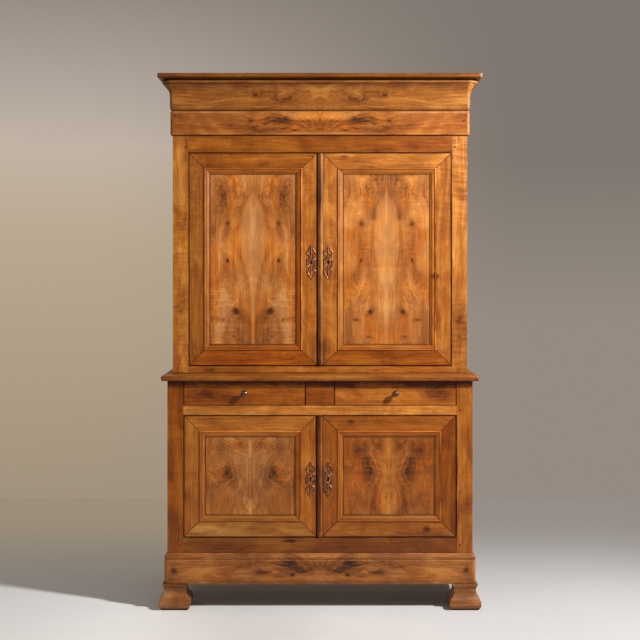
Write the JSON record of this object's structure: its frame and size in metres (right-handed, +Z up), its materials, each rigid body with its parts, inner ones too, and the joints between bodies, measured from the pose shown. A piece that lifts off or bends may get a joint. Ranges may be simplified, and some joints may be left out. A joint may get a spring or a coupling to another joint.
{
  "type": "two-part cupboard",
  "caption": "Two-part cupboard: a buffet with drawers and panelled doors on ogee feet, under a set-back cabinet with tall panelled doors and a moulded cornice.",
  "frame": {"origin": "on the floor, under the middle of the whole piece", "axes": "+Z up, the doors face -Y, +X to the right as seen from the front"},
  "size_m": [1.4, 0.5724, 2.288],
  "materials": {
    "cherry": "waxed and french polished",
    "figured_cherry": "waxed and french polished",
    "plain_wood": "bare, aged",
    "iron": "dull, oiled",
    "bronze": "patinated",
    "dark_turned_wood": "polished"
  },
  "bodies": {
    "root": {"pivot_sockets": "iron", "front_feet": "cherry", "plinth_boards": "cherry", "buffet_front_posts": "cherry", "buffet_rear_posts": "cherry", "buffet_side_rails": "cherry", "buffet_side_panels": "cherry", "buffet_back": "plain_wood", "buffet_shelf": "plain_wood", "hutch_front_posts": "cherry", "hutch_rear_posts": "cherry", "hutch_side_rails": "cherry", "hutch_side_panels": "cherry", "hutch_back": "plain_wood", "hutch_shelves": "plain_wood", "joint_pegs": "cherry", "shelf_cleats": "plain_wood", "buffet_front_rails": "cherry", "hutch_front_rails": "cherry", "buffet_floor": "plain_wood", "hutch_floor": "plain_wood", "hutch_ceiling": "plain_wood", "drawer_divider": "cherry", "drawer_runners": "plain_wood", "buffet_top": "cherry", "frieze_boards": "figured_cherry", "cornice_mouldings": "cherry", "cornice_cap": "cherry"},
    "lower_left_door": {"lower_left_door_frame": "cherry", "lower_left_door_mouldings": "cherry", "lower_left_door_panel": "figured_cherry", "lower_left_door_pivots": "iron", "lower_left_door_escutcheon": "bronze"},
    "lower_right_door": {"lower_right_door_frame": "cherry", "lower_right_door_mouldings": "cherry", "lower_right_door_panel": "figured_cherry", "lower_right_door_pivots": "iron", "lower_right_door_escutcheon": "bronze", "lower_right_lock_case": "iron"},
    "lower_right_lock_bolt": {"lower_right_lock_bolt": "iron"},
    "upper_left_door": {"upper_left_door_frame": "cherry", "upper_left_door_mouldings": "cherry", "upper_left_door_panel": "figured_cherry", "upper_left_door_pivots": "iron", "upper_left_door_escutcheon": "bronze"},
    "upper_right_door": {"upper_right_door_frame": "cherry", "upper_right_door_mouldings": "cherry", "upper_right_door_panel": "figured_cherry", "upper_right_door_pivots": "iron", "upper_right_door_escutcheon": "bronze", "upper_right_lock_case": "iron"},
    "upper_right_lock_bolt": {"upper_right_lock_bolt": "iron"},
    "left_drawer": {"left_drawer_front": "cherry", "left_drawer_box": "plain_wood", "left_drawer_bottom": "plain_wood", "left_drawer_knob": "dark_turned_wood"},
    "right_drawer": {"right_drawer_front": "cherry", "right_drawer_box": "plain_wood", "right_drawer_bottom": "plain_wood", "right_drawer_knob": "dark_turned_wood"}
  },
  "joints": [
    {"name": "upper_left_door_hinge", "type": "hinge", "parent": "root", "child": "upper_left_door", "pos_m": [-0.558, -0.15025, 1.488], "axis": [0, 0, -1], "range_deg": [0, 110]},
    {"name": "upper_right_door_hinge", "type": "hinge", "parent": "root", "child": "upper_right_door", "pos_m": [0.558, -0.15025, 1.488], "axis": [0, 0, 1], "range_deg": [0, 110]},
    {"name": "lower_left_door_hinge", "type": "hinge", "parent": "root", "child": "lower_left_door", "pos_m": [-0.568, -0.24525, 0.5625], "axis": [0, 0, -1], "range_deg": [0, 110]},
    {"name": "lower_right_door_hinge", "type": "hinge", "parent": "root", "child": "lower_right_door", "pos_m": [0.568, -0.24525, 0.5625], "axis": [0, 0, 1], "range_deg": [0, 110]},
    {"name": "left_drawer_slide", "type": "slide", "parent": "root", "child": "left_drawer", "axis": [0, -1, 0], "range_m": [0, 0.34]},
    {"name": "right_drawer_slide", "type": "slide", "parent": "root", "child": "right_drawer", "axis": [0, -1, 0], "range_m": [0, 0.34]},
    {"name": "upper_right_lock_slide", "type": "slide", "parent": "upper_right_door", "child": "upper_right_lock_bolt", "axis": [-1, 0, 0], "range_m": [0, 0.014]},
    {"name": "lower_right_lock_slide", "type": "slide", "parent": "lower_right_door", "child": "lower_right_lock_bolt", "axis": [-1, 0, 0], "range_m": [0, 0.014]}
  ]
}
